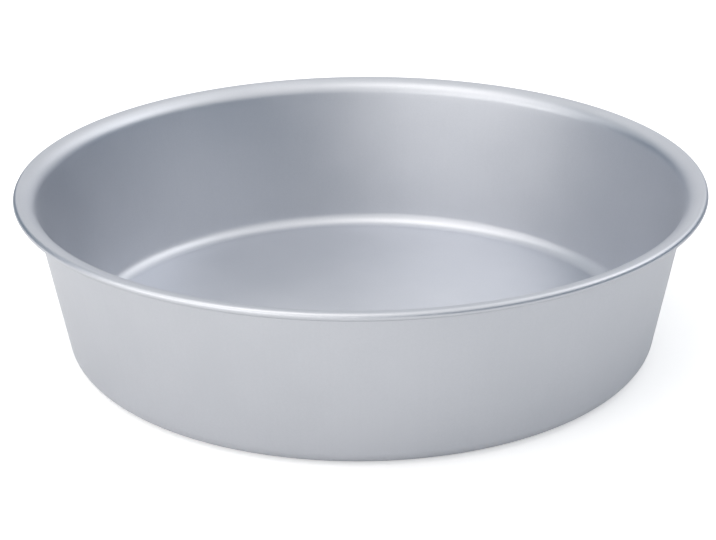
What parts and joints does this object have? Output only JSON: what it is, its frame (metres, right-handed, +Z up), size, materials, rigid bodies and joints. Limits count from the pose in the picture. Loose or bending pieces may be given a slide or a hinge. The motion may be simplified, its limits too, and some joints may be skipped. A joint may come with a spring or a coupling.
{
  "type": "round cake tin",
  "caption": "Round, open cake tin of satin aluminium: flat floor, rounded corner, leaning wall, flared lip and rolled edge, pressed without a seam.",
  "frame": {"origin": "centre of the underside of the base, where the tin stands", "axes": "+Z up along the tin's axis, out of its mouth; X and Y level, with nothing on the tin to tell them apart"},
  "size_m": [0.244, 0.244, 0.06],
  "materials": {
    "satin_aluminium": "satin, silver anodised, no coating or paint"
  },
  "bodies": {
    "root": {"tin_body": "satin_aluminium"}
  },
  "joints": []
}
